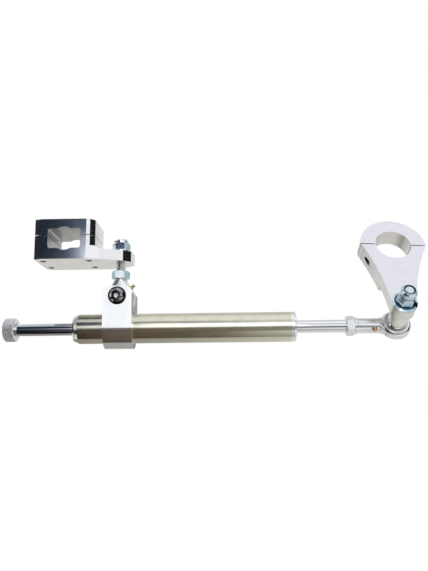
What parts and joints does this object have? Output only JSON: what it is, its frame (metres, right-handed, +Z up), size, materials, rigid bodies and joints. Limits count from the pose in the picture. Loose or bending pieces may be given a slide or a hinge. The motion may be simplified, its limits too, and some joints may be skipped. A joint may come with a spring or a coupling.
{
  "type": "motorcycle steering damper",
  "caption": "Through-rod motorcycle steering damper with a knurled adjuster knob, rod ends, a split frame clamp on an arm and a split fork clamp.",
  "frame": {"origin": "centre of the frame clamp's opening, in the plane of the damper", "axes": "+X along the damper from the frame clamp to the fork clamp, +Y through the frame clamp's opening to the back, +Z up"},
  "size_m": [0.3437, 0.0712, 0.107],
  "materials": {
    "polished_aluminium": "polished",
    "satin_aluminium": "satin",
    "champagne_aluminium": "satin anodised",
    "turned_aluminium": "turned",
    "hard_chrome": "polished hard chrome",
    "zinc_steel": "blue zinc plated",
    "rod_end_steel": "plated",
    "ball_steel": "ground and polished",
    "black_steel": "black oxide",
    "screw_steel": "plain",
    "bronze": "sintered bronze",
    "nipple_brass": "bright",
    "seal_rubber": "matte",
    "nylon": "matte",
    "ptfe": "matte"
  },
  "bodies": {
    "frame_bracket": {"frame_clamp_base": "polished_aluminium", "frame_clamp_cap": "polished_aluminium", "frame_clamp_screws": "screw_steel", "frame_rod_end": "rod_end_steel", "frame_rod_end_race": "ball_steel", "frame_jam_nut": "zinc_steel", "frame_lock_washer": "zinc_steel", "frame_lock_nut": "zinc_steel", "frame_lock_nut_ring": "nylon", "frame_grease_nipple": "nipple_brass"},
    "frame_ball": {"frame_rod_end_ball": "ball_steel"},
    "damper_body": {"body_clamp": "satin_aluminium", "clevis_bolt": "black_steel", "clevis_lock_nut": "zinc_steel", "clevis_lock_nut_ring": "nylon", "clevis_front_spacer": "zinc_steel", "clevis_rear_spacer": "zinc_steel", "damper_tube": "champagne_aluminium", "left_gland": "turned_aluminium", "right_gland": "turned_aluminium", "left_bush": "bronze", "right_bush": "bronze", "left_rod_seal": "seal_rubber", "right_rod_seal": "seal_rubber", "left_wiper": "seal_rubber", "right_wiper": "seal_rubber", "left_o_ring": "seal_rubber", "right_o_ring": "seal_rubber", "left_bump_stop": "seal_rubber", "right_bump_stop": "seal_rubber"},
    "rod_band": {"piston_band": "ptfe"},
    "rod_group": {"piston_rod": "hard_chrome", "piston": "turned_aluminium", "left_snap_ring": "screw_steel", "right_snap_ring": "screw_steel", "fork_jam_nut": "zinc_steel", "fork_rod_end": "rod_end_steel", "fork_rod_end_race": "ball_steel", "fork_grease_nipple": "nipple_brass", "knob_snap_ring": "screw_steel"},
    "knob_group": {"adjuster_knob": "turned_aluminium", "knob_cover": "turned_aluminium", "detent_ball": "ball_steel", "detent_spring": "screw_steel", "detent_screw": "screw_steel"},
    "needle_group": {"adjuster_needle": "rod_end_steel", "needle_o_ring": "seal_rubber"},
    "fork_ball": {"fork_rod_end_ball": "ball_steel"},
    "fork_bracket": {"fork_clamp_base": "satin_aluminium", "fork_clamp_cap": "satin_aluminium", "fork_clamp_screws": "screw_steel", "fork_spacer": "satin_aluminium", "fork_pivot_bolt": "black_steel", "fork_pivot_washer": "zinc_steel", "fork_lock_nut": "zinc_steel", "fork_lock_nut_ring": "nylon"}
  },
  "joints": [
    {"name": "frame_ball_yaw", "type": "hinge", "parent": "frame_bracket", "child": "frame_ball", "pos_m": [0.0425, 0, -0.0462], "axis": [0, 0, 1], "range_deg": [-10, 10]},
    {"name": "damper_swing", "type": "hinge", "parent": "frame_ball", "child": "damper_body", "pos_m": [0.0425, 0, -0.0462], "axis": [0, 1, 0], "range_deg": [-25, 25]},
    {"name": "rod_slide", "type": "slide", "parent": "damper_body", "child": "rod_band", "axis": [1, 0, 0], "range_m": [-0.039, 0.039]},
    {"name": "rod_spin", "type": "hinge", "parent": "rod_band", "child": "rod_group", "pos_m": [0.0425, 0, -0.0708], "axis": [1, 0, 0], "continuous": true},
    {"name": "knob_turn", "type": "hinge", "parent": "rod_group", "child": "knob_group", "pos_m": [0.0425, 0, -0.0708], "axis": [1, 0, 0], "range_deg": [-270, 270]},
    {"name": "needle_feed", "type": "slide", "parent": "knob_group", "child": "needle_group", "axis": [1, 0, 0], "range_m": [-0.00061, 0.00061]},
    {"name": "fork_ball_tilt", "type": "hinge", "parent": "rod_group", "child": "fork_ball", "pos_m": [0.2636, 0, -0.0708], "axis": [0, 0.4695, 0.8829], "range_deg": [-10.2, 5.8]},
    {"name": "fork_clamp_swing", "type": "hinge", "parent": "fork_ball", "child": "fork_bracket", "pos_m": [0.2636, 0, -0.0708], "axis": [-0.0384, 0.8823, -0.4691], "range_deg": [-47, 43]}
  ],
  "couplings": [
    {"joint": "needle_feed", "follows": "knob_turn", "m_per_rad": 0.00012732}
  ]
}
